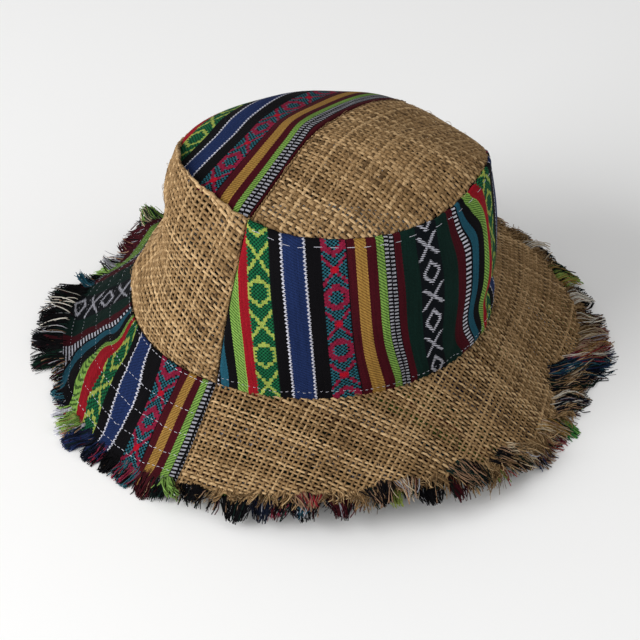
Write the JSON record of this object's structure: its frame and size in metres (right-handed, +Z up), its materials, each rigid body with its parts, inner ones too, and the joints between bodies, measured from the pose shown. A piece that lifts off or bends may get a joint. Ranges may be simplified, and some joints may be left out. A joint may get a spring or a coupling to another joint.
{
  "type": "patchwork sun hat",
  "caption": "Soft round sun hat of open-weave hemp and striped cotton patchwork, with a domed crown and a sloping, frayed brim.",
  "frame": {"origin": "on the floor under the middle of the hat's outline, at the height of the brim's lowest ends", "axes": "+Z up through the crown, +X along the longer way of the oval head opening, -Y towards the side with the striped cotton panel"},
  "size_m": [0.302, 0.2937, 0.1523],
  "materials": {
    "hemp_weave": "matte, coarse open weave",
    "striped_cotton": "matte, woven stripes of many colours",
    "frayed_thread": "matte, loose thread ends of many colours"
  },
  "bodies": {
    "root": {"crown_top_hemp": "hemp_weave", "crown_top_cotton": "striped_cotton", "crown_side_cotton": "striped_cotton", "crown_side_hemp": "hemp_weave", "brim_upper_hemp": "hemp_weave", "brim_upper_cotton": "striped_cotton", "brim_under_cotton": "striped_cotton", "fringe_hemp": "frayed_thread", "fringe_cotton": "frayed_thread", "fringe_under": "frayed_thread"}
  },
  "joints": []
}
